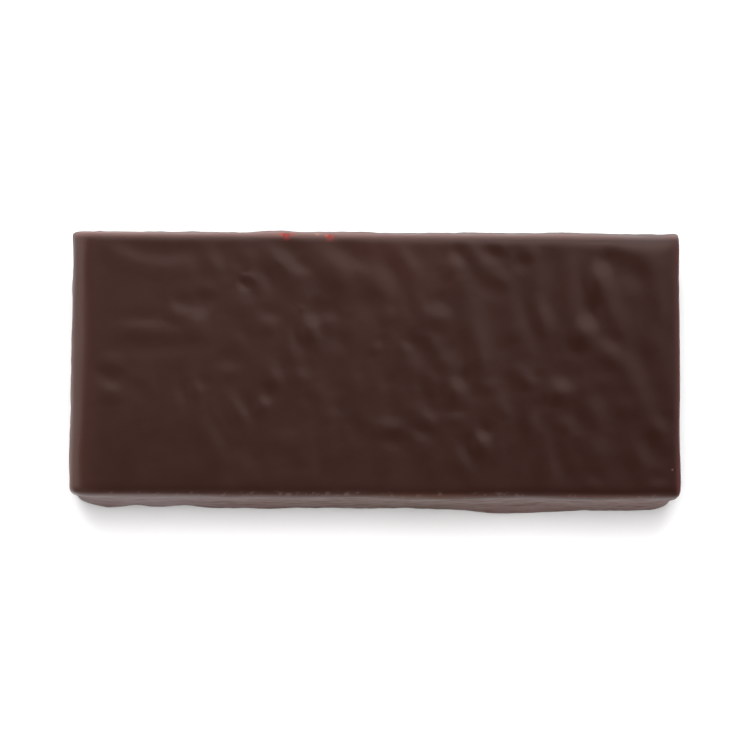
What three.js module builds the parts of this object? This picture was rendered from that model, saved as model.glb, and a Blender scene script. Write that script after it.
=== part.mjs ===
// A long chocolate bonbon: a cut bar of filling with a coat of dark chocolate all over it.
// It lies on its flat base. Millimetres, +X along the length, +Y to the back, +Z up, with the
// origin under the middle of the piece. It is uncut, so it is one solid body.

import * as THREE from 'three';
import { mergeVertices } from 'three/addons/utils/BufferGeometryUtils.js';

// Driving dimensions
const length = 39.7;
const width = 17.35;
const height = 7.9;
const cornerRadius = 1.1; // upright corners, seen from above
const topEdge = { left: 0.9, right: 0.45, front: 0.4, back: 0.6 }; // how far each top edge is rounded
const baseEdge = 0.35; // the turn under to the base
const crown = 0.1; // the middle of the top stands this much over its edges

// The walls lean out a little on the way down and end in an uneven foot
const lean = 0.08;
const footStart = 0.45; // share of the wall's height where the foot begins
const footWave = 0.07;
const footPitch = 3.7;
const footSlow = 2.6; // a second wave is this much longer
const footBulge = { x: 9, halfLength: 3, out: 0.12 }; // on the front wall

// Fine arcs that fan from the back edge to the right and straighten towards the front
const arcPitch = 2.7;
const arcRise = 0.018;
const arcReach = 5.4; // how far an arc runs to the right
const arcBend = 7; // over this way down from the back edge it straightens
const arcStart = -9; // left of this the top has hardly any arcs
const arcFade = 3;

// Ripples that blown air left in the wet coating. Each row is a soft swell, or a hollow where its
// rise is negative: x, y, half length, half width, turn in degrees, rise.
const ripples = [
  // along the back edge
  [-14.6, 6.4, 2.6, 0.8, -6, 0.05],
  [-10.6, 6.1, 1.4, 0.7, -70, 0.05],
  [-5.7, 6.0, 1.6, 0.8, -60, 0.12],
  [-2.0, 5.9, 2.0, 0.9, -45, 0.12],
  [2.5, 6.0, 1.6, 0.8, -65, 0.07],
  [5.4, 6.2, 1.5, 0.8, -80, 0.1],
  [14.9, 5.5, 1.4, 0.9, -80, 0.12],
  [18.3, 6.4, 1.4, 0.9, -70, 0.06],
  // the row behind the middle
  [-15.8, 2.4, 2.2, 0.8, 0, 0.06],
  [-12.2, 2.7, 1.2, 0.9, -10, 0.09],
  [-4.0, 2.2, 1.4, 0.8, -55, 0.1],
  [3.9, 2.5, 1.5, 0.9, -60, 0.08],
  [6.9, 1.4, 2.2, 0.8, -80, 0.06],
  [11.4, 2.2, 1.5, 0.8, -75, 0.06],
  [13.7, 1.8, 1.3, 1.0, -60, 0.13],
  [17.2, -1.6, 2.2, 1.0, -68, 0.06],
  // the rows in front of the middle
  [-17.6, -2.2, 1.4, 0.9, 0, 0.05],
  [4.5, -3.5, 2.0, 0.8, 0, 0.04],
  [12.2, -1.9, 1.5, 0.8, -55, 0.07],
  [7.1, -5.3, 0.9, 0.8, 0, 0.06],
  // hollows, the first of them a burst bubble
  [-8.5, 5.3, 0.6, 0.6, 0, -0.12],
  [-3.5, 3.9, 1.2, 0.8, -20, -0.09],
  [4.6, 4.4, 1.2, 0.8, -60, -0.09],
  [7.7, 4.9, 1.3, 0.8, -40, -0.07],
  [14.0, 4.0, 1.3, 0.8, -70, -0.09],
  [17.0, 5.0, 2.4, 1.2, -75, -0.1],
];

// How finely the surface is divided
const columns = 72;
const rows = 31;
const edgeSteps = 3;
const wallSteps = 4;
const baseSteps = 2;

function swellHeight([x, y, halfLength, halfWidth, turn, rise], place) {
  const local = new THREE.Vector2(place.x - x, place.y - y);
  local.rotateAround(new THREE.Vector2(), -THREE.MathUtils.degToRad(turn));
  const distance = Math.hypot(local.x / halfLength, local.y / halfWidth);
  return rise * Math.exp(-1.6 * distance * distance);
}

function arcHeight(place) {
  const drop = width / 2 - place.y;
  const across = place.x - arcReach * (1 - Math.exp(-drop / arcBend));
  const strength = THREE.MathUtils.smoothstep(place.x, arcStart - arcFade, arcStart + arcFade);
  return arcRise * strength * Math.sin((2 * Math.PI * across) / arcPitch);
}

function crownHeight(place) {
  const along = (2 * place.x) / length;
  const across = (2 * place.y) / width;
  return crown * (1 - along * along) * (1 - across * across);
}

function topHeight(place) {
  const swells = ripples.reduce((sum, ripple) => sum + swellHeight(ripple, place), 0);
  return height + crownHeight(place) + arcHeight(place) + swells;
}

// A place in the outline of the walls, seen from above, for u and v that run from -1 to 1 over the
// piece's length and width, with the way out from there. A square grid's corner is bent into a
// quarter circle.
function outlineAt([u, v]) {
  const place = new THREE.Vector2((u * length) / 2, (v * width) / 2);
  const way = new THREE.Vector2(Math.abs(u) === 1 ? u : 0, Math.abs(v) === 1 ? v : 0);
  const cornerX = length / 2 - cornerRadius;
  const cornerY = width / 2 - cornerRadius;
  const overX = (Math.abs(place.x) - cornerX) / cornerRadius;
  const overY = (Math.abs(place.y) - cornerY) / cornerRadius;
  if (overX > 0 && overY > 0) {
    way.x = Math.sign(u) * overX * Math.sqrt(1 - overY ** 2 / 2);
    way.y = Math.sign(v) * overY * Math.sqrt(1 - overX ** 2 / 2);
    place.set(Math.sign(u) * cornerX, Math.sign(v) * cornerY).addScaledVector(way, cornerRadius);
  }
  return { place, way: way.normalize() };
}

// The rounding of the top's edges that a way out from the middle meets
function edgeFor(way) {
  return {
    end: way.x < 0 ? topEdge.left : topEdge.right,
    side: way.y < 0 ? topEdge.front : topEdge.back,
  };
}

// The place on the top where its rounded edge begins, or the place inside it for a grid point
function insideEdge(place) {
  const { end, side } = edgeFor(place);
  return new THREE.Vector2(
    place.x * (1 - (2 * end) / length),
    place.y * (1 - (2 * side) / width),
  );
}

function edgeDepth(way) {
  const { end, side } = edgeFor(way);
  return end * way.x ** 2 + side * way.y ** 2;
}

function footOut(place, way) {
  const around = (2 * Math.PI * (place.x + place.y)) / footPitch;
  const wave = (Math.sin(around) + Math.sin(around / footSlow)) / 2;
  const fromBulge = (place.x - footBulge.x) / footBulge.halfLength;
  const bulge = way.y < 0 ? footBulge.out * Math.exp(-fromBulge * fromBulge) : 0;
  return footWave * wave + bulge;
}

// How far the wall stands out of its outline, share being the share of its height from the top
function wallOut(place, way, share) {
  return lean * share + footOut(place, way) * THREE.MathUtils.smoothstep(share, footStart, 1);
}

function pointAt(place, z) {
  return new THREE.Vector3(place.x, place.y, z);
}

// Lines of points across the top, from the front one to the back one
function topLines() {
  const lines = [];
  for (let row = 0; row <= rows; row++) {
    const line = [];
    for (let column = 0; column <= columns; column++) {
      const { place } = outlineAt([(2 * column) / columns - 1, (2 * row) / rows - 1]);
      const inside = insideEdge(place);
      line.push(pointAt(inside, topHeight(inside)));
    }
    lines.push(line);
  }
  return lines;
}

// The border of the top's grid as u and v, once round to its first corner again
function border() {
  const sides = [];
  for (let column = 0; column < columns; column++) sides.push([(2 * column) / columns - 1, -1]);
  for (let row = 0; row < rows; row++) sides.push([1, (2 * row) / rows - 1]);
  for (let column = columns; column > 0; column--) sides.push([(2 * column) / columns - 1, 1]);
  for (let row = rows; row > 0; row--) sides.push([-1, (2 * row) / rows - 1]);
  return [...sides, sides[0]];
}

// Rings of points from the top's edge over it, down the walls and under to the base
function wallRings() {
  const rings = [];
  const addRing = (ringPoint) => {
    rings.push(border().map((corner) => {
      const { place, way } = outlineAt(corner);
      return ringPoint(place, way, topHeight(insideEdge(place)));
    }));
  };
  for (let step = 0; step <= edgeSteps; step++) {
    const angle = (step / edgeSteps) * (Math.PI / 2);
    addRing((place, way, top) => {
      const rounded = insideEdge(place).lerp(place, Math.sin(angle));
      return pointAt(rounded, top - edgeDepth(way) * (1 - Math.cos(angle)));
    });
  }
  for (let step = 1; step <= wallSteps; step++) {
    const share = step / wallSteps;
    addRing((place, way, top) => {
      const wall = place.clone().addScaledVector(way, wallOut(place, way, share));
      return pointAt(wall, THREE.MathUtils.lerp(top - edgeDepth(way), baseEdge, share));
    });
  }
  for (let step = 1; step <= baseSteps; step++) {
    const angle = (step / baseSteps) * (Math.PI / 2);
    addRing((place, way) => {
      const out = wallOut(place, way, 1) - baseEdge * (1 - Math.cos(angle));
      return pointAt(place.clone().addScaledVector(way, out), baseEdge * (1 - Math.sin(angle)));
    });
  }
  return rings;
}

// Triangles between two lines of points, facing a viewer who sees the upper line above the lower
function strip(upper, lower) {
  const corners = [];
  for (let i = 1; i < upper.length; i++) {
    corners.push(upper[i - 1], lower[i - 1], lower[i], upper[i - 1], lower[i], upper[i]);
  }
  return corners;
}

// Triangles from a ring to one point in its middle, facing down
function floorFan(ring, middle) {
  const corners = [];
  for (let i = 1; i < ring.length; i++) corners.push(ring[i - 1], middle, ring[i]);
  return corners;
}

// One closed surface, with the origin under the middle of the piece
function bonbonGeometry() {
  const lines = topLines();
  const rings = wallRings();
  const corners = floorFan(rings.at(-1), new THREE.Vector3());
  for (let i = 1; i < lines.length; i++) corners.push(...strip(lines[i], lines[i - 1]));
  for (let i = 1; i < rings.length; i++) corners.push(...strip(rings[i - 1], rings[i]));

  const geometry = mergeVertices(new THREE.BufferGeometry().setFromPoints(corners));
  geometry.computeBoundingBox();
  const middle = geometry.boundingBox.getCenter(new THREE.Vector3());
  geometry.translate(-middle.x, -middle.y, 0);
  geometry.computeVertexNormals();
  return geometry;
}

const darkChocolate = new THREE.MeshStandardMaterial({
  color: 0x43302b,
  roughness: 0.42,
  metalness: 0,
});

const bonbon = new THREE.Mesh(bonbonGeometry(), darkChocolate);
bonbon.name = 'bonbon';

const model = new THREE.Group();
model.add(bonbon);

export default model;
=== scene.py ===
import bpy
import math
import random
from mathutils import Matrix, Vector


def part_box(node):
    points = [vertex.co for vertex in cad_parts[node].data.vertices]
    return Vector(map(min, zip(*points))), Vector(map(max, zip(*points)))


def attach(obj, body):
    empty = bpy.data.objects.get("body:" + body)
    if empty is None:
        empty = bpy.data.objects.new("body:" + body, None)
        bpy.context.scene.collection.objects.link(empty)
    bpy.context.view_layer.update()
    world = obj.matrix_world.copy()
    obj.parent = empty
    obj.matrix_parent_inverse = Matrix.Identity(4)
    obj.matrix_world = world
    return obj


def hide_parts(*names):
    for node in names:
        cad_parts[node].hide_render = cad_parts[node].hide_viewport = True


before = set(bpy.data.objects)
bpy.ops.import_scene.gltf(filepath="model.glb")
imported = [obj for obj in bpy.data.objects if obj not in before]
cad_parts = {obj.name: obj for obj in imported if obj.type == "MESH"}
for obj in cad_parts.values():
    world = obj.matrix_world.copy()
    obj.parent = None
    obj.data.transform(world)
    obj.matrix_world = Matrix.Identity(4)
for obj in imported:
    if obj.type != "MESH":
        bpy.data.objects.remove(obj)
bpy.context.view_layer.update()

mm = 0.001
lowCorner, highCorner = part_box("bonbon")
boxMiddle = (lowCorner + highCorner) / 2

# ---- the bonbon's shape, lengths in mm

bonbonShape = {
    "wallInset": (0.14, 0.11),  # the foot stands out past the walls by this, end and side
    "backOut": 0.08,  # the back wall stands this much nearer to the foot
    "topSink": 0.04,  # the smooth top lies this far under the highest ripple
    "cells": (38, 16, 7),  # cage cells along x, y and z before rounding
    "softness": {"left": 2.3, "right": 0.6, "front": 1.0, "back": 1.05},  # wall to first cage loop
    "topLoop": {"left": 1.9, "right": 0.8, "front": 1.1, "back": 4.4},  # top to first loop on a wall
    "footLoop": 0.55,  # base to the last one
    "leftBend": (  # of the first loop beside the left wall: y, shift along x
        (-8.2, 0), (-7.5, -1.0), (-4, -0.6), (1, 0), (3, 0), (7, -0.7), (8.2, 0)),
    "backBend": (  # of the first loop beside the back wall: x, shift along y
        (-4, 0), (2, -0.2), (11, -0.4), (15, -0.8), (17.5, -1.2), (19.3, -1.2), (19.7, 0)),
    "widerFront": 0.09,  # at each end, from the back edge to the front one
    "flare": (  # of the walls: height, way out
        (0, 0.08), (0.55, 0.14), (2.3, 0.04), (3.4, -0.02), (6.5, -0.03), (7.9, 0)),
    "roundLevels": 3,
}

# the plain block's walls and top, and its cage cells
leftWall = lowCorner.x + bonbonShape["wallInset"][0] * mm
rightWall = highCorner.x - bonbonShape["wallInset"][0] * mm
frontWall = lowCorner.y + bonbonShape["wallInset"][1] * mm
backWall = highCorner.y + (bonbonShape["backOut"] - bonbonShape["wallInset"][1]) * mm
blockTop = highCorner.z - bonbonShape["topSink"] * mm
blockSize = Vector((rightWall - leftWall, backWall - frontWall, blockTop))
cell = Vector([side / count for side, count in zip(blockSize, bonbonShape["cells"])])

# how far the cage is drawn in at each upright corner, along x and y, at the top and at the base,
# and how sharp the corner's upper part is
corners = {
    ("left", "front"): ((-0.15, -0.05), (0.40, 0.32), 0),
    ("left", "back"): ((-0.14, 0.05), (0.20, 0.20), 0.36),
    ("right", "front"): ((0, 0), (0.45, 0.45), 0),
    ("right", "back"): ((-0.08, -0.12), (0.25, 0.25), 0.3),
}
# the same for the cage's nearest places on the end and on the long wall, at the base
besideCorner = {
    "left": ((0.07, 0.4), (0, 0.1)),
    "right": ((0.07, 0.4), (0.6, 0.07)),
}
cornerStyle = {
    "reach": 0.35,  # mm, how near a cage vertex is to count as the corner's
    "sharpAbove": 0.43,  # share of the height
}

# places where the coat stands out or was drawn in: x, y, z, way out along x and y, reach
bulges = [
    (-18.7, -8.9, 0.5, 0, -0.17, 1.7),  # foot of the front wall
    (-16.2, -8.9, 0.5, 0, 0.28, 1.4),
    (-12.3, -8.9, 0.5, 0, 0.22, 1.8),
    (-7.8, -8.9, 0.5, 0, -0.10, 2.2),
    (-3.2, -8.9, 0.5, 0, 0.05, 1.8),
    (4.4, -8.9, 0.5, 0, -0.06, 2.6),
    (1.8, -8.9, 0.5, 0, 0.06, 1.6),
    (8.9, -8.9, 0.5, 0, -0.33, 4.4),
    (11.8, -8.9, 0.5, 0, -0.08, 2.4),
    (15.4, -8.9, 0.5, 0, -0.11, 6.0),
    (-9.0, -8.7, 7.5, 0, -0.10, 1.6),  # front edge of the top
    (-5.0, -8.7, 7.5, 0, -0.05, 2.6),
    (4.6, -8.7, 7.5, 0, -0.12, 6.0),
    (14.6, -8.7, 7.5, 0, -0.10, 5.5),
    (-6.6, 8.7, 7.9, 0, 0.14, 1.7),  # back edge
    (-8.6, 8.7, 7.9, 0, -0.06, 1.4),
    (-1.5, 8.7, 7.9, 0, 0.04, 1.2),
    (15.7, 8.7, 7.9, 0, 0.05, 1.4),
    (17.6, 8.7, 7.9, 0, -0.09, 1.6),
    (-14.0, 8.7, 7.5, 0, -0.06, 5.5),
    (12.6, 8.7, 7.9, 0, 0.03, 6.0),
    (13.0, 8.7, 7.9, 0, 0.06, 1.6),
    (18.4, 8.7, 7.9, 0, 0.08, 1.3),
    (19.8, 8.7, 7.5, 0.05, 0.05, 1.6),  # right end
    (19.8, 7.3, 7.9, 0.08, 0, 1.4),
    (19.9, 5.0, 7.9, -0.03, 0, 2.4),
    (19.9, -4.2, 7.7, -0.07, 0, 3.0),
    (19.9, -7.4, 7.7, 0.05, 0, 1.2),
    (-19.8, 6.5, 7.5, 0.05, 0, 4.0),  # left end
    (-19.9, -3.1, 7.5, 0.08, 0, 2.4),
    (-19.9, -6.3, 7.5, 0.04, 0, 1.8),
    (20.0, -7.6, 3.0, 0.10, 0, 3.6),  # the wall under the front right corner
]

# the uneven foot of the end walls and the back wall
footWaves = {
    "count": 26,
    "walls": ("left", "right", "back", "back"),  # to choose from, so the back one gets half of them
    "out": 0.09,
    "along": 0.9,  # how far towards a wall's ends, as a share of its half length
    "reach": (1.4, 3.0),
    "height": 0.5,
    "seed": 11,
}

# folds that blown air left in the wet coating. Each is a step between a swell and a hollow, which
# faces the back where its rise is positive and the front where it is negative:
# x, y, half length, half width, turn in degrees, rise
folds = [
    (-16.2, 7.5, 1.3, 0.7, -20, 0.07),  # along the back edge
    (-13.9, 6.95, 1.5, 0.7, 0, 0.08),
    (-12.3, 7.1, 0.8, 0.7, 12, 0.05),
    (-11.0, 6.6, 1.5, 0.6, -66, -0.05),
    (-10.3, 6.9, 0.7, 0.8, -50, 0.06),
    (-8.6, 7.0, 0.5, 0.5, -60, -0.05),
    (-8.35, 5.6, 0.5, 0.35, -38, -0.09),  # a burst bubble and its lip
    (-8.5, 6.05, 0.2, 0.2, 0, 0.05),
    (-7.3, 5.6, 0.7, 0.5, -70, 0.04),
    (-6.2, 5.9, 1.8, 0.8, -64, -0.08),
    (-6.0, 7.2, 1.4, 0.75, -38, 0.09),
    (-4.7, 6.3, 0.7, 0.5, -5, 0.05),
    (-2.2, 7.1, 1.7, 0.9, -27, 0.115),
    (-0.3, 6.3, 1.2, 0.7, -25, 0.035),
    (1.1, 7.1, 1.2, 0.6, -56, -0.05),
    (1.9, 5.7, 1.2, 0.6, -72, -0.05),
    (2.5, 7.0, 1.4, 0.6, -55, 0.035),
    (5.2, 7.1, 0.6, 0.75, -28, 0.10),
    (5.9, 7.5, 0.8, 0.5, -50, -0.06),
    (7.2, 7.1, 0.5, 0.6, -45, 0.05),
    (7.9, 7.7, 0.8, 0.5, -25, -0.06),
    (9.8, 7.2, 0.6, 0.6, -30, -0.07),
    (-2.9, 5.3, 1.2, 0.8, -70, -0.04),
    (14.8, 6.5, 0.7, 0.9, -25, 0.17),
    (16.3, 7.2, 1.5, 1.1, -32, -0.11),
    (17.4, 6.4, 0.8, 0.8, -45, -0.06),
    (-10.9, 4.7, 0.6, 0.6, 0, -0.07),  # the second row
    (-8.5, 4.6, 0.9, 0.8, -35, 0.05),
    (-0.8, 4.4, 1.5, 0.6, -20, -0.03),
    (0.1, 4.7, 0.8, 0.6, -30, -0.04),
    (2.5, 3.9, 1.0, 0.5, -75, -0.04),
    (4.9, 5.6, 1.1, 0.8, -62, -0.07),
    (6.4, 5.0, 1.2, 0.8, -70, 0.03),
    (7.8, 5.5, 0.9, 0.6, -30, -0.08),
    (9.3, 4.6, 1.7, 0.7, -89, 0.035),
    (12.0, 5.2, 2.2, 0.7, -87, -0.035),
    (13.0, 5.8, 1.6, 0.6, -87, 0.03),
    (14.1, 5.2, 1.4, 0.8, -64, -0.05),
    (16.1, 4.0, 1.8, 1.1, -80, 0.05),
    (18.8, 4.6, 1.4, 0.5, -82, 0.03),
    (-15.2, 2.8, 1.8, 0.5, 0, 0.05),  # the row behind the middle
    (-14.0, 1.7, 3.0, 0.6, 0, -0.05),
    (-12.8, 3.8, 0.7, 0.6, -30, 0.08),
    (-11.6, 3.4, 0.8, 0.85, -10, 0.14),
    (-6.8, 3.1, 0.8, 0.6, 0, 0.07),
    (-4.1, 3.05, 0.65, 0.8, -22, 0.12),
    (-2.9, 3.2, 0.6, 0.6, 0, 0.06),
    (-8.7, 1.9, 0.5, 0.5, -70, 0.03),
    (-5.9, 1.4, 1.1, 0.4, -86, -0.035),
    (-4.3, 1.6, 1.5, 0.55, -68, -0.045),
    (1.0, 3.7, 0.5, 0.6, -30, 0.05),
    (4.1, 3.75, 0.9, 0.75, -8, 0.12),
    (6.9, 3.2, 1.3, 0.9, -80, 0.05),
    (10.5, 2.8, 1.6, 0.5, -74, -0.035),
    (11.2, 3.6, 1.3, 0.7, -64, 0.07),
    (13.8, 2.95, 0.75, 0.95, -25, 0.20),
    (13.2, 1.4, 0.9, 0.9, -50, -0.05),
    (15.2, 1.45, 0.8, 0.6, -25, 0.07),
    (15.2, 3.1, 0.9, 0.7, -65, -0.03),
    (17.7, 2.2, 2.6, 0.8, -89, -0.035),
    (-17.2, -0.25, 0.9, 0.6, -8, -0.09),  # the middle
    (-14.9, 0.3, 1.2, 0.8, -40, 0.02),
    (-9.4, 0, 1.0, 0.6, 0, 0.06),
    (-6.4, -0.1, 0.9, 0.6, -60, 0.04),
    (-4.7, -0.4, 0.6, 0.55, -40, 0.055),
    (-1.9, 1.8, 0.9, 0.6, -70, -0.04),
    (-1.1, -0.7, 0.9, 0.6, -70, 0.03),
    (0.2, 1.4, 0.4, 0.5, -45, 0.05),
    (2.1, 1.4, 0.5, 0.4, -45, 0.04),
    (2.6, 0.4, 1.4, 0.6, -48, 0.025),
    (3.4, -1.2, 1.0, 0.5, -75, -0.05),
    (3.4, 1.4, 0.8, 0.5, -68, -0.04),
    (4.7, 0.7, 0.5, 0.6, -30, 0.04),
    (6.1, 1.2, 1.6, 0.6, -78, -0.06),
    (7.3, 1.2, 1.4, 0.6, -88, 0.04),
    (8.8, 1.7, 0.6, 0.8, -30, -0.05),
    (9.2, -0.9, 0.8, 0.6, -50, -0.05),
    (9.7, -0.2, 1.0, 0.6, -35, 0.02),
    (10.2, -0.8, 0.4, 0.5, -60, 0.04),
    (15.3, 0.1, 0.9, 0.6, -15, -0.05),
    (17.0, 0.1, 1.3, 0.9, -62, 0.06),
    (-17.0, -1.4, 0.8, 0.6, -5, 0.08),  # in front of the middle
    (-15.0, -1.4, 0.8, 0.5, -55, -0.04),
    (-12.7, -2.0, 0.8, 0.7, -65, 0.03),
    (-12.0, -1.8, 1.4, 0.5, -78, -0.04),
    (-11.4, -1.3, 0.5, 0.5, -60, 0.05),
    (-9.3, -2.9, 1.4, 0.5, -58, -0.05),
    (-8.7, -2.8, 1.2, 0.6, -56, 0.045),
    (-7.1, -2.25, 0.5, 0.6, -40, 0.07),
    (-6.8, -1.3, 0.6, 0.6, -20, -0.06),
    (-4.1, -1.9, 0.5, 0.5, -60, -0.04),
    (-2.7, -2.9, 0.6, 0.6, -55, 0.04),
    (-2.0, -1.4, 0.8, 0.6, -80, -0.03),
    (-0.9, -3.8, 1.0, 0.5, -75, -0.03),
    (0.6, -1.2, 0.5, 0.5, -60, 0.03),
    (1.3, -2.0, 0.8, 0.5, -80, -0.03),
    (0.9, -3.4, 1.1, 0.6, 0, 0.05),
    (3.2, -3.9, 0.6, 0.5, -30, -0.05),
    (3.4, -2.9, 1.2, 0.6, -32, 0.05),
    (5.1, -3.1, 0.9, 0.4, 0, 0.04),
    (4.7, -1.8, 0.7, 0.5, -65, -0.05),
    (5.5, -1.1, 0.75, 0.6, -48, 0.09),
    (7.0, -1.5, 0.5, 0.6, -60, -0.07),
    (7.3, -3.9, 0.5, 0.5, -20, -0.05),
    (8.4, -2.3, 0.8, 0.6, -75, 0.05),
    (11.4, -2.1, 0.5, 0.7, -50, -0.06),
    (12.2, -1.05, 0.85, 0.8, -25, 0.14),
    (14.4, -2.4, 0.8, 0.9, -30, 0.05),
    (15.9, -2.9, 0.8, 0.8, -60, -0.05),
    (16.9, -2.0, 1.2, 0.6, -65, -0.03),
    (17.8, -2.2, 1.5, 0.8, -66, 0.035),
    (18.5, -1.0, 1.6, 0.7, -75, -0.03),
    (18.6, -3.7, 0.6, 0.6, -50, 0.035),
    (-10.2, -4.7, 1.8, 0.7, -62, 0.055),  # along the front edge
    (-8.4, -6.1, 1.3, 0.7, -50, 0.05),
    (-6.3, -4.4, 1.4, 0.8, 15, 0.04),
    (-5.2, -6.9, 1.4, 0.5, 3, 0.02),
    (-3.3, -5.2, 2.4, 0.5, -85, -0.035),
    (0.9, -4.4, 1.0, 0.5, 0, -0.05),
    (1.2, -5.4, 0.5, 0.4, 0, 0.02),
    (2.9, -4.5, 0.9, 0.6, -35, 0.03),
    (5.7, -5.7, 1.4, 0.6, -58, 0.045),
    (6.6, -5.4, 1.3, 0.6, -66, -0.035),
    (7.1, -4.45, 0.6, 0.75, -20, 0.10),
    (8.4, -5.0, 1.5, 0.6, -88, 0.03),
    (9.7, -4.0, 1.4, 0.5, -85, -0.04),
    (10.6, -3.6, 0.8, 0.6, -60, 0.04),
    (11.4, -5.6, 1.4, 0.5, -82, 0.02),
    (12.0, -3.9, 0.5, 0.6, -60, -0.05),
    (12.4, -6.0, 1.2, 0.5, -72, -0.04),
    (13.0, -3.9, 0.8, 0.8, -50, 0.055),
    (14.2, -7.4, 0.6, 0.5, -20, 0.04),
    (14.6, -5.0, 0.9, 0.9, -50, 0.05),
    (17.4, -5.6, 1.2, 0.7, -58, 0.035),
    (18.2, -4.6, 1.4, 0.7, -62, -0.045),
    (18.3, -7.5, 0.6, 0.5, 10, 0.04),
]

# lone swells and hollows: x, y, half length, half width, turn in degrees, rise
swells = [
    (0, 0, 60, 13, 0, 0.30),  # the crown of the top
    (0, 0, 30, 60, 0, -0.45),  # and its dish from end to end
    (-4.8, 3.55, 0.15, 0.15, 0, 0.03),  # a pinhole's rim
]

swellStyle = {
    "reach": 1.5,  # a swell fades out at this many half lengths
    "flank": 0.78,  # half widths from a fold to the middle of its swell
    "shift": -0.28,  # mm along y for all folds
    "depth": 5,  # how far a swell reaches down the walls
}

# fine relief that covers more than one place
fineRelief = {
    "arcs": {"middle": (-25, -14, 8), "pitch": 2.7, "rise": 0.008, "from": (-12, -6),
             "grain": 0.4, "turbulence": 4},
    "mottle": {"size": (5, 12, 12), "turn": -62, "rise": 0.025},
    "wallStreaks": ({"size": (13, 13, 2.6), "turn": 4, "rise": 0.14},
                    {"size": (8, 8, 1.0), "turn": -6, "rise": 0.13}),
    "topBand": (2, 1),  # what is on the top fades in between these depths under its highest place
    "wallTop": (6.8, 7.6),  # the streaks fade out between these heights
    "wallFoot": (0, 0.5),  # and in between these
    "weightSteps": 20,  # the weights that fade them are rounded to this many steps
}


def only(piece):  # selects this object alone and makes it the active one
    bpy.ops.object.select_all(action="DESELECT")
    piece.select_set(True)
    bpy.context.view_layer.objects.active = piece


def pickVerts(piece, wanted):  # opens the piece for editing with just these vertices selected
    bpy.ops.object.mode_set(mode="OBJECT")
    mesh = piece.data
    mesh.polygons.foreach_set("select", [False] * len(mesh.polygons))
    mesh.edges.foreach_set("select", [False] * len(mesh.edges))
    mesh.vertices.foreach_set("select", [bool(wanted(v.co)) for v in mesh.vertices])
    bpy.ops.object.mode_set(mode="EDIT")


def pickEdgesAlong(piece, axis):  # the same with the edges that run along this axis
    bpy.ops.object.mode_set(mode="OBJECT")
    mesh = piece.data
    mesh.polygons.foreach_set("select", [False] * len(mesh.polygons))
    mesh.vertices.foreach_set("select", [False] * len(mesh.vertices))
    for edge in mesh.edges:
        start, end = (mesh.vertices[i].co for i in edge.vertices)
        edge.select = abs((end - start)[axis]) > 0.9 * (end - start).length
    bpy.ops.object.mode_set(mode="EDIT")


def near(value, target, tolerance=0.01):
    return abs(value - target) < tolerance * mm


def places(piece):
    return [vertex.co.copy() for vertex in piece.data.vertices]


def levelsAlong(piece, axis):
    return [level * mm for level in sorted({round(place[axis] / mm, 2) for place in places(piece)})]


def between(pairs, value):  # reads a value off a line through pairs of numbers
    for (start, low), (end, high) in zip(pairs, pairs[1:]):
        if value <= end:
            return low + (high - low) * max(0, value - start) / (end - start)
    return pairs[-1][1]


def applyModifier(piece, kind, **settings):
    modifier = piece.modifiers.new(kind.lower(), kind)
    for key, value in settings.items():
        setattr(modifier, key, value)
    bpy.context.view_layer.update()
    bpy.ops.object.modifier_apply(modifier=modifier.name)


# ---- a box of cage cells whose outer loops set how soft each edge gets

def makeBlock():
    bpy.ops.object.select_all(action="DESELECT")
    middle = Vector((leftWall + rightWall, frontWall + backWall, blockTop)) / 2
    bpy.ops.mesh.primitive_cube_add(size=1, location=middle, scale=blockSize)
    block = bpy.context.object
    block.name = "chocolateBonbon"
    bpy.ops.object.transform_apply(location=True, rotation=True, scale=True)
    bpy.ops.object.mode_set(mode="EDIT")
    bpy.ops.mesh.select_mode(type="EDGE")
    for axis, cells in enumerate(bonbonShape["cells"]):
        pickEdgesAlong(block, axis)
        bpy.ops.mesh.subdivide(number_cuts=cells - 1)
    bpy.ops.mesh.select_mode(type="VERT")
    bpy.ops.object.mode_set(mode="OBJECT")
    return block


def shiftPicked(axis, distance):
    shift = [0, 0, 0]
    shift[axis] = distance
    bpy.ops.transform.translate(value=shift)


def placeLoops(block):  # the loops beside each edge
    soft = bonbonShape["softness"]
    loops = (
        (0, leftWall + cell.x, leftWall + soft["left"] * mm),
        (0, rightWall - cell.x, rightWall - soft["right"] * mm),
        (1, frontWall + cell.y, frontWall + soft["front"] * mm),
        (1, backWall - cell.y, backWall - soft["back"] * mm),
        (2, blockTop - cell.z, blockTop - bonbonShape["topLoop"]["right"] * mm),
        (2, cell.z, bonbonShape["footLoop"] * mm),
    )
    for axis, now, then in loops:
        pickVerts(block, lambda co: near(co[axis], now))
        shiftPicked(axis, then - now)
    bpy.ops.object.mode_set(mode="OBJECT")


def bendLoops(block):
    soft = bonbonShape["softness"]
    bends = (
        (0, leftWall + soft["left"] * mm, 1, bonbonShape["leftBend"]),
        (1, backWall - soft["back"] * mm, 0, bonbonShape["backBend"]),
    )
    for axis, now, along, pairs in bends:
        for row in levelsAlong(block, along):
            pickVerts(block, lambda co: near(co[axis], now) and near(co[along], row))
            shiftPicked(axis, between(pairs, row / mm) * mm)
    bpy.ops.object.mode_set(mode="OBJECT")


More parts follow.
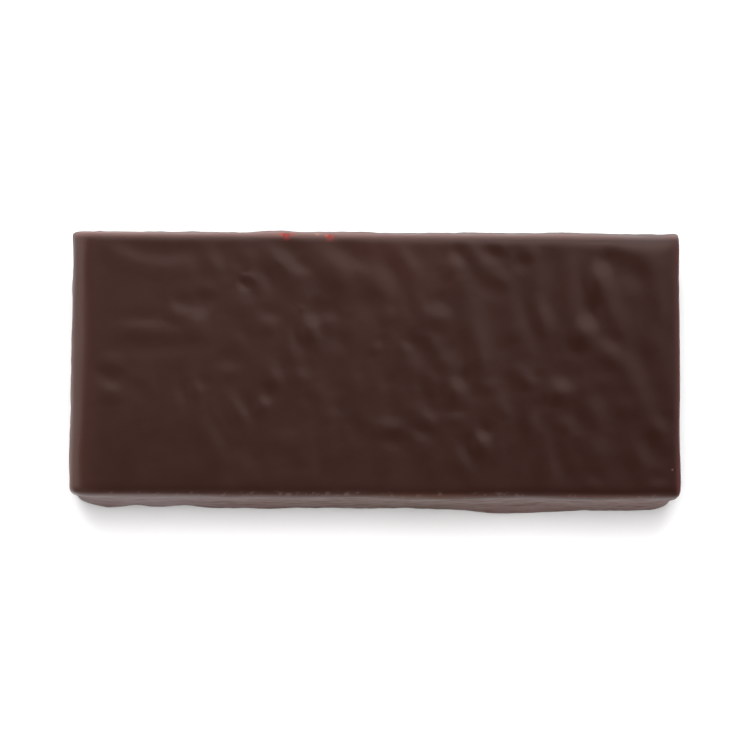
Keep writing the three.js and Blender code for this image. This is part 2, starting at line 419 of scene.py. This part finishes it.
def slideLoops(block):  # a wall's loops slide down together until its first one is in place
    topLoop = bonbonShape["topLoop"]
    walls = {
        "left": lambda co: near(co.x, leftWall),
        "front": lambda co: near(co.y, frontWall) and not near(co.x, leftWall),
        "back": lambda co: near(co.y, backWall) and not near(co.x, leftWall),
    }
    for wall, onWall in walls.items():
        pickVerts(block, lambda co: cell.z < co.z < blockTop - cell.z / 2 and onWall(co))
        slide = (blockTop - topLoop[wall] * mm) / (blockTop - topLoop["right"] * mm)
        bpy.ops.transform.resize(value=(1, 1, slide), center_override=(0, 0, 0))
    bpy.ops.object.mode_set(mode="OBJECT")


bonbon = makeBlock()
placeLoops(bonbon)
bendLoops(bonbon)
slideLoops(bonbon)
print("cage of the bonbon:", len(bonbon.data.polygons), "faces")


# ---- the ends spread towards the front, and the corners are crisp at the top and round at the base

def spreadFront(block):
    size = highCorner - lowCorner
    for row in levelsAlong(block, 1):
        share = (boxMiddle.y - row) / size.y
        pickVerts(block, lambda co: near(co.y, row))
        grow = 1 + 2 * bonbonShape["widerFront"] * mm * share / size.x
        bpy.ops.transform.resize(value=(grow, 1, 1), center_override=boxMiddle)
    bpy.ops.object.mode_set(mode="OBJECT")


def roundCorners(block):
    reach = cornerStyle["reach"]
    heights = levelsAlong(block, 2)
    soft = bonbonShape["softness"]
    for (end, wall), (pullTop, pullBase, sharp) in corners.items():
        sideX = -1 if end == "left" else 1
        sideY = -1 if wall == "front" else 1
        corner = max(places(block), key=lambda co: co.x * sideX + co.y * sideY)
        pickVerts(block, lambda co: co.z > cornerStyle["sharpAbove"] * heights[-1]
                  and near(co.x, corner.x, reach) and near(co.y, corner.y, reach))
        bpy.ops.transform.edge_crease(value=sharp)
        inX = corner.x - sideX * soft[end] * mm
        inY = corner.y - sideY * soft[wall] * mm
        onEnd, onWall = besideCorner[end]
        spots = (
            (corner.x, corner.y, pullTop, pullBase),
            (corner.x, inY, (0, 0), onEnd),
            (inX, corner.y, (0, 0), onWall),
        )
        for level in heights:
            share = 1 - level / heights[-1]
            for x, y, atTop, atBase in spots:
                pull = Vector(atTop).lerp(Vector(atBase), share) * mm
                pickVerts(block, lambda co: near(co.z, level)
                          and near(co.x, x, reach) and near(co.y, y, reach))
                bpy.ops.transform.translate(value=(-sideX * pull.x, -sideY * pull.y, 0))
    bpy.ops.object.mode_set(mode="OBJECT")


spreadFront(bonbon)
roundCorners(bonbon)


# ---- walls with a hollow under the top's edge and an uneven foot

def flareWalls(block):
    size = highCorner - lowCorner
    for level in levelsAlong(block, 2):
        out = between(bonbonShape["flare"], level / mm)
        pickVerts(block, lambda co: near(co.z, level))
        grow = (1 + 2 * out * mm / size.x, 1 + 2 * out * mm / size.y, 1)
        bpy.ops.transform.resize(value=grow, center_override=boxMiddle)
    bpy.ops.object.mode_set(mode="OBJECT")


def pushOut(block, place, shift, reach):  # moves the nearest vertex, and less and less around it
    nearest = min(places(block), key=lambda co: (co - place).length)
    pickVerts(block, lambda co: near((co - nearest).length, 0))
    bpy.ops.transform.translate(
        value=shift, use_proportional_edit=True, proportional_edit_falloff="SMOOTH",
        proportional_size=reach * mm)
    bpy.ops.object.mode_set(mode="OBJECT")


def makeFoot(block):
    chance = random.Random(footWaves["seed"])
    half = (highCorner - lowCorner) / 2
    for number in range(footWaves["count"]):
        wall = chance.choice(footWaves["walls"])
        out = chance.uniform(-1, 1) * footWaves["out"] * mm
        along = chance.uniform(-footWaves["along"], footWaves["along"])
        if wall == "back":
            place, shift = Vector((along * half.x, half.y, 0)), (0, out, 0)
        else:
            side = 1 if wall == "right" else -1
            place, shift = Vector((side * half.x, along * half.y, 0)), (side * out, 0, 0)
        place.z = footWaves["height"] * mm
        pushOut(block, place, shift, chance.uniform(*footWaves["reach"]))


flareWalls(bonbon)
makeFoot(bonbon)
for x, y, z, outX, outY, reach in bulges:
    pushOut(bonbon, Vector((x, y, z)) * mm, (outX * mm, outY * mm, 0), reach)

only(bonbon)
roundLevels = bonbonShape["roundLevels"]
applyModifier(bonbon, "SUBSURF", levels=roundLevels, render_levels=roundLevels)
print("rounded:", len(bonbon.data.polygons), "faces")


# ---- ripples

def swellTexture():
    texture = bpy.data.textures.new("swell", "BLEND")
    texture.progression = "SPHERICAL"
    texture.use_color_ramp = True
    texture.color_ramp.interpolation = "EASE"
    texture.color_ramp.elements[0].color = (0, 0, 0, 1)
    texture.color_ramp.elements[1].color = (1, 1, 1, 1)
    return texture


def addDab():  # an empty whose place, size and turn lay a texture on the piece
    bpy.ops.object.empty_add(location=(0, 0, 0))
    return bpy.context.object


def displace(block, texture, dab, rise, direction="Z", **settings):
    applyModifier(block, "DISPLACE", texture=texture, texture_coords="OBJECT",
                  texture_coords_object=dab, direction=direction, strength=rise * mm, **settings)


def raiseRipples(block):
    texture = swellTexture()
    top = max(place.z for place in places(block))
    dab = addDab()
    only(block)

    def raiseSwell(x, y, halfLength, halfWidth, degrees, rise):
        reach = swellStyle["reach"] * mm
        dab.location = (x * mm, y * mm, top)
        dab.scale = (halfLength * reach, halfWidth * reach, swellStyle["depth"] * mm)
        dab.rotation_euler = (0, 0, math.radians(degrees))
        displace(block, texture, dab, rise, mid_level=0)

    for x, y, halfLength, halfWidth, degrees, rise in folds:
        turn = math.radians(degrees)
        acrossX = -math.sin(turn) * swellStyle["flank"] * halfWidth
        acrossY = math.cos(turn) * swellStyle["flank"] * halfWidth
        y += swellStyle["shift"]
        raiseSwell(x - acrossX, y - acrossY, halfLength, halfWidth, degrees, rise / 2)
        raiseSwell(x + acrossX, y + acrossY, halfLength, halfWidth, degrees, -rise / 2)
    for swell in swells:
        raiseSwell(*swell)
    bpy.data.objects.remove(dab)


def ramp(value, start, end):
    share = min(1, max(0, (value - start) / (end - start)))
    return share * share * (3 - 2 * share)


def weighVerts(piece, name, weight):  # a vertex group with a weight worked out from each place
    group = piece.vertex_groups.new(name=name)
    steps = fineRelief["weightSteps"]
    byWeight = {}
    for vertex in piece.data.vertices:
        byWeight.setdefault(round(weight(vertex.co / mm) * steps), []).append(vertex.index)
    for step, members in byWeight.items():
        if step:
            group.add(members, step / steps, "REPLACE")


def arcsTexture(style):
    rings = bpy.data.textures.new("arcs", "WOOD")
    rings.wood_type = "RINGNOISE"
    rings.noise_basis_2 = "SIN"
    rings.noise_scale = style["grain"]
    rings.turbulence = style["turbulence"]
    return rings


def addFineRelief(block):
    top = max(place.z for place in places(block)) / mm
    topBand = [top - depth for depth in fineRelief["topBand"]]
    dab = addDab()
    only(block)

    arcs = fineRelief["arcs"]
    ringsPerUnit = 20 / (2 * math.pi)  # of the wood texture
    dab.location = Vector(arcs["middle"]) * mm
    dab.scale = [arcs["pitch"] * ringsPerUnit * mm] * 3
    weighVerts(block, "arcs", lambda co: ramp(co.x, *arcs["from"]) * ramp(co.z, *topBand))
    displace(block, arcsTexture(arcs), dab, 2 * arcs["rise"], vertex_group="arcs")

    mottle = fineRelief["mottle"]
    clouds = bpy.data.textures.new("mottle", "CLOUDS")
    dab.location = (0, 0, 0)
    dab.scale = Vector(mottle["size"]) * mm
    dab.rotation_euler = (0, 0, math.radians(mottle["turn"]))
    weighVerts(block, "top", lambda co: ramp(co.z, *topBand))
    displace(block, clouds, dab, mottle["rise"], vertex_group="top")

    weighVerts(block, "walls", lambda co: (1 - ramp(co.z, *fineRelief["wallTop"]))
               * ramp(co.z, *fineRelief["wallFoot"]))
    for streaks in fineRelief["wallStreaks"]:
        dab.scale = Vector(streaks["size"]) * mm
        dab.rotation_euler = (0, math.radians(streaks["turn"]), 0)
        displace(block, clouds, dab, streaks["rise"], "NORMAL", vertex_group="walls")
    block.vertex_groups.clear()
    bpy.data.objects.remove(dab)


def closeBase(block):  # the flat underside becomes one face
    pickVerts(block, lambda co: near(co.z, 0, tolerance=0.0001))
    bpy.ops.mesh.select_mode(type="FACE")
    bpy.ops.mesh.dissolve_faces()
    bpy.ops.object.mode_set(mode="OBJECT")


raiseRipples(bonbon)
addFineRelief(bonbon)
print("ripples raised")
closeBase(bonbon)
only(bonbon)
bpy.ops.object.shade_smooth()
print("bonbon finished:", len(bonbon.data.polygons), "faces")


# ---- material

chocolate = {
    "dark": (0.0165, 0.0052, 0.0034),
    "light": (0.0185, 0.0058, 0.0039),
    # the walls and the top's edges are lighter: partly a real thinner coat, partly painted light
    # standing in for the floor's reflection and the lit rims
    "thinCoatAndPaintedLight": ((0.080, 0.025, 0.016), (0.092, 0.035, 0.023)),  # on the walls, and over the top's edges
    "patches": {"scale": 450, "detail": 5,  # and the noise values between which each finish changes
                "top": (0.35, 0.65), "wall": (0.45, 0.6), "gloss": (0.3, 0.7)},
    "roughness": (0.33, 0.40),
    "thinRoughness": 0.55,
    "thinFrom": (-0.40, -0.05),  # mm past the outline, between which the coat turns thin
    "thinLater": 0.07,  # mm further out at the long walls
    "thinBelow": (7, 6),  # mm, the heights between which it turns thin on the walls
    "grain": {"scale": 1800, "detail": 3, "strength": 0.5, "depth": 0.01},
    "ior": 1.43,
    "glossTint": (1, 0.73, 0.68, 1),
}

# places of another colour, and of painted light and shade: x, y, z in mm (None is all along), radius,
# share at the middle, colour
# painted light and shade on the top: lighter at the left, along the left end's edge and in the back
# middle, darker at the front right
topPaintedLight = [
    (-15, 3, 8, 18, 1, (0.0205, 0.0072, 0.0050)),
    (18, -2, 8, 20, 0.8, (0.0120, 0.0020, 0.0010)),
    (-19.7, None, 7.8, 2.4, 1, (0.030, 0.011, 0.008)),
    (1, 8.5, 8, 7, 0.6, (0.028, 0.0095, 0.0065)),
]
wallPatchesAndPaintedLight = [
    # painted shade, a little redder: the upper right end darker
    (20, None, 7.5, 2.5, 0.9, (0.050, 0.008, 0.011)),
    # painted highlight: a greyer band along the front edge
    (None, -8.8, 7.4, 0.9, 0.8, (0.058, 0.032, 0.030)),
    # painted reflection: the left part of the front wall lighter
    (-15, -9.2, 4, 8, 0.8, (0.15, 0.10, 0.10)),
    # an olive-brown patch of the coat
    (2, -9.2, 4, 8, 0.7, (0.070, 0.030, 0.010)),
]
tints = [
    (None, 8.9, 7.65, 0.85, 1, (0.29, 0.155, 0.14)),  # the back edge catches more light
    (-19.35, 8.15, 7.8, 0.1, 0.7, (0.30, 0.13, 0.07)),  # a chip near the corner
    (-3.1, 7.5, 8.0, 0.11, 0.5, (0.25, 0.12, 0.08)),
    (-4.8, 3.55, 8.1, 0.12, 0.7, (0.20, 0.10, 0.08)),  # the pinhole's rim
    (19.3, -6.9, 7.9, 0.12, 0.8, (0.40, 0.25, 0.20)),  # specks at the right and on the front wall
    (1.5, -8.6, 6.5, 0.15, 0.8, (0.50, 0.40, 0.35)),
]
cracks = [  # the coat has cracked open there
    (-5.8, 8.35, 7.68, 0.5, 2, (0.11, 0.008, 0.006)),
    (-6.15, 8.45, 7.63, 0.23, 2, (0.34, 0.030, 0.016)),
    (-5.8, 8.38, 7.66, 0.22, 2.2, (0.26, 0.014, 0.010)),
    (-5.45, 8.45, 7.6, 0.22, 2, (0.30, 0.026, 0.014)),
    (-3.0, 8.27, 7.7, 0.45, 2, (0.16, 0.010, 0.007)),
    (-3.2, 8.4, 7.62, 0.21, 2, (0.40, 0.06, 0.028)),
    (-2.85, 8.36, 7.65, 0.16, 2, (0.30, 0.02, 0.012)),
    (-3.8, 8.5, 7.5, 0.28, 1.3, (0.32, 0.14, 0.095)),
]
nickGlints = {  # painted glints: pale specks of light along the front edge, where it has small nicks
    "tint": (None, -8.6, 7.6, 0.4, 0.6, (0.10, 0.065, 0.058)),
    "scale": 2300,
    "between": (0.58, 0.68),
}


def shaderNode(owner, kind, sockets, **settings):  # a socket is given a value or what feeds it
    node = owner.node_tree.nodes.new("ShaderNode" + kind)
    for key, value in settings.items():
        setattr(node, key, value)
    for socket, value in sockets.items():
        if isinstance(value, bpy.types.NodeSocket):
            owner.node_tree.links.new(value, node.inputs[socket])
        else:
            node.inputs[socket].default_value = value
    return node


def noiseOf(material, place, scale, detail=2):
    sockets = {"Vector": place, "Scale": scale, "Detail": detail}
    return shaderNode(material, "TexNoise", sockets).outputs["Fac"]


def vectorMath(material, operation, vector, other=(0, 0, 0)):
    node = shaderNode(material, "VectorMath", {0: vector, 1: other}, operation=operation)
    return node.outputs["Value" if operation == "DISTANCE" else "Vector"]


def numberMath(material, operation, first, second):
    return shaderNode(material, "Math", {0: first, 1: second}, operation=operation).outputs["Value"]


def mapped(material, value, span, onto=(0, 1), steps="LINEAR"):
    sockets = {"Value": value, "From Min": span[0], "From Max": span[1],
               "To Min": onto[0], "To Max": onto[1]}
    return shaderNode(material, "MapRange", sockets, interpolation_type=steps).outputs["Result"]


def twoTones(material, value, span, tones):
    node = shaderNode(material, "ValToRGB", {"Fac": value})
    for element, position, tone in zip(node.color_ramp.elements, span, tones):
        element.position = position
        element.color = (*tone, 1)
    return node.outputs["Color"]


def blended(material, share, under, over):  # the Mix node's colours are its sockets 6 and 7
    return shaderNode(material, "Mix", {0: share, 6: under, 7: over}, data_type="RGBA").outputs[2]


def tinted(material, place, before, tint, pattern=None):  # turns into the tint's colour near its middle
    x, y, z, radius, share, colour = tint
    flat = vectorMath(material, "MULTIPLY", place, (x is not None, y is not None, 1))
    away = vectorMath(material, "DISTANCE", flat, Vector((x or 0, y or 0, z)) * mm)
    fade = mapped(material, away, (0, radius * mm), (share, 0), "SMOOTHSTEP")
    if pattern is not None:
        fade = numberMath(material, "MULTIPLY", fade, pattern)
    return blended(material, fade, before, (*colour, 1))


def thinCoatMask(material, place):  # 1 where the coat is thin: on the walls and over the top's edges
    inset = Vector((*bonbonShape["wallInset"], 0)) - Vector((0, chocolate["thinLater"], 0))
    outlineHalf = (highCorner - lowCorner) / 2 - inset * mm
    fromMiddle = vectorMath(material, "ABSOLUTE", vectorMath(material, "SUBTRACT", place, boxMiddle))
    pastOutline = vectorMath(material, "SUBTRACT", fromMiddle, outlineHalf)
    sides = shaderNode(material, "SeparateXYZ", {"Vector": pastOutline}).outputs
    nearest = numberMath(material, "MAXIMUM", sides["X"], sides["Y"])
    edge = mapped(material, nearest, [depth * mm for depth in chocolate["thinFrom"]], steps="SMOOTHSTEP")
    height = shaderNode(material, "SeparateXYZ", {"Vector": place}).outputs["Z"]
    low = mapped(material, height, [level * mm for level in chocolate["thinBelow"]])
    return numberMath(material, "MAXIMUM", edge, low)


def chocolateMaterial():
    material = bpy.data.materials.new("darkChocolate")
    material.use_nodes = True
    place = shaderNode(material, "TexCoord", {}).outputs["Object"]
    patches, grain = chocolate["patches"], chocolate["grain"]
    tone = noiseOf(material, place, patches["scale"], patches["detail"])
    specks = noiseOf(material, place, nickGlints["scale"])
    thin = thinCoatMask(material, place)

    top = twoTones(material, tone, patches["top"], (chocolate["dark"], chocolate["light"]))
    # lays the painted light and shade over the top's colour
    for tint in topPaintedLight:
        top = tinted(material, place, top, tint)
    # the lighter wall and edge colour: thin coat and painted light
    wall = twoTones(material, tone, patches["wall"], chocolate["thinCoatAndPaintedLight"])
    # lays the wall's patches and its painted light and shade
    for tint in wallPatchesAndPaintedLight:
        wall = tinted(material, place, wall, tint)
    colour = blended(material, thin, top, wall)
    for tint in tints:
        colour = tinted(material, place, colour, tint)
    for tint in cracks:
        colour = tinted(material, place, colour, tint, specks)
    # painted glints along the front edge
    colour = tinted(material, place, colour, nickGlints["tint"], mapped(material, specks, nickGlints["between"]))

    gloss = mapped(material, tone, patches["gloss"], chocolate["roughness"])
    roughness = shaderNode(material, "Mix", {0: thin, 2: gloss, 3: chocolate["thinRoughness"]})
    grainHeight = noiseOf(material, place, grain["scale"], grain["detail"])
    bump = shaderNode(material, "Bump", {
        "Strength": grain["strength"], "Distance": grain["depth"] * mm, "Height": grainHeight})

    shader = material.node_tree.nodes["Principled BSDF"]
    shader.inputs["IOR"].default_value = chocolate["ior"]
    shader.inputs["Specular Tint"].default_value = chocolate["glossTint"]
    feeds = {"Base Color": colour, "Roughness": roughness.outputs[0], "Normal": bump.outputs["Normal"]}
    for socket, feed in feeds.items():
        material.node_tree.links.new(feed, shader.inputs[socket])
    return material


bonbon.data.materials.append(chocolateMaterial())
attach(bonbon, "root")
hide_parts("bonbon")


# ---- stage, light and camera

studio = {
    "floorSize": 3.0,  # m
    "floorColour": (0.85, 0.85, 0.85, 1),
    "floorRoughness": 0.9,
    "cameraTilt": 83.75,  # degrees above the horizon
    "cameraRoll": 0.25,
    "cameraDistance": 300,  # mm from the aim
    "cameraReach": (0.01, 10),  # m
    "aimInFront": 0.82,  # mm in front of the middle, on the top
    "lens": 221.8,
    "roomLight": 0.12,
    "backdrop": 1.1,  # the white behind everything
}

# soft boxes: degrees round from the back and above the horizon, distance and size in m, power in W
softBoxes = {
    "mainLight": {"round": -5, "above": 82, "away": 0.6, "size": (0.30, 0.46), "power": 6.75},
    "backPanel": {"round": 0, "above": 25, "away": 0.5, "size": (0.9, 0.47), "power": 2.9},
    "highPanel": {"round": 38, "above": 60, "away": 0.5, "size": (0.5, 0.3), "power": 0.80},
    "frontPanel": {"round": 180, "above": 35, "away": 0.5, "size": (0.9, 0.4), "power": 0.63},
    "leftPanel": {"round": -80, "above": 30, "away": 0.5, "size": (0.6, 0.56), "power": 2.4},
    "rightPanel": {"round": 85, "above": 25, "away": 0.5, "size": (0.6, 0.5), "power": 0.45},
}

bpy.ops.mesh.primitive_plane_add(size=studio["floorSize"], location=(0, 0, 0))
floor = bpy.context.object
floor.name = "floor"
paleFloor = bpy.data.materials.new("paleFloor")
paleFloor.use_nodes = True
floorShader = paleFloor.node_tree.nodes["Principled BSDF"]
floorShader.inputs["Base Color"].default_value = studio["floorColour"]
floorShader.inputs["Roughness"].default_value = studio["floorRoughness"]
floor.data.materials.append(paleFloor)


def addSoftBox(name, box):  # the main light gives no gloss, and the panels give nothing else
    turn = math.radians(box["round"])
    rise = math.radians(box["above"])
    way = Vector((math.sin(turn) * math.cos(rise), math.cos(turn) * math.cos(rise), math.sin(rise)))
    bpy.ops.object.light_add(type="AREA", location=way * box["away"])
    light = bpy.context.object
    light.name = name
    light.rotation_euler = way.to_track_quat("Z", "Y").to_euler()
    light.data.shape = "RECTANGLE"
    light.data.size, light.data.size_y = box["size"]
    light.data.energy = box["power"]
    light.data.cycles.use_multiple_importance_sampling = False
    light.visible_camera = False
    light.visible_diffuse = name == "mainLight"
    light.visible_glossy = name != "mainLight"


for name, box in softBoxes.items():
    addSoftBox(name, box)

world = bpy.data.worlds.new("room")
bpy.context.scene.world = world
world.use_nodes = True
ambient = world.node_tree.nodes["Background"]
ambient.inputs["Color"].default_value = (1, 1, 1, 1)
ambient.inputs["Strength"].default_value = studio["roomLight"]
white = shaderNode(world, "Background", {"Color": (1, 1, 1, 1), "Strength": studio["backdrop"]})
seen = shaderNode(world, "LightPath", {}).outputs["Is Camera Ray"]
mix = shaderNode(world, "MixShader", {0: seen, 1: ambient.outputs[0], 2: white.outputs[0]})
world.node_tree.links.new(mix.outputs[0], world.node_tree.nodes["World Output"].inputs["Surface"])

tilt = math.radians(studio["cameraTilt"])
aim = Vector((boxMiddle.x, boxMiddle.y - studio["aimInFront"] * mm, highCorner.z))
away = Vector((0, -math.cos(tilt), math.sin(tilt)))
bpy.ops.object.camera_add(location=aim + away * studio["cameraDistance"] * mm)
camera = bpy.context.object
camera.rotation_euler = away.to_track_quat("Z", "Y").to_euler()
camera.rotation_euler.rotate_axis("Z", math.radians(studio["cameraRoll"]))
camera.data.lens = studio["lens"]
camera.data.clip_start, camera.data.clip_end = studio["cameraReach"]
bpy.context.scene.camera = camera
bpy.context.scene.view_settings.view_transform = "Standard"
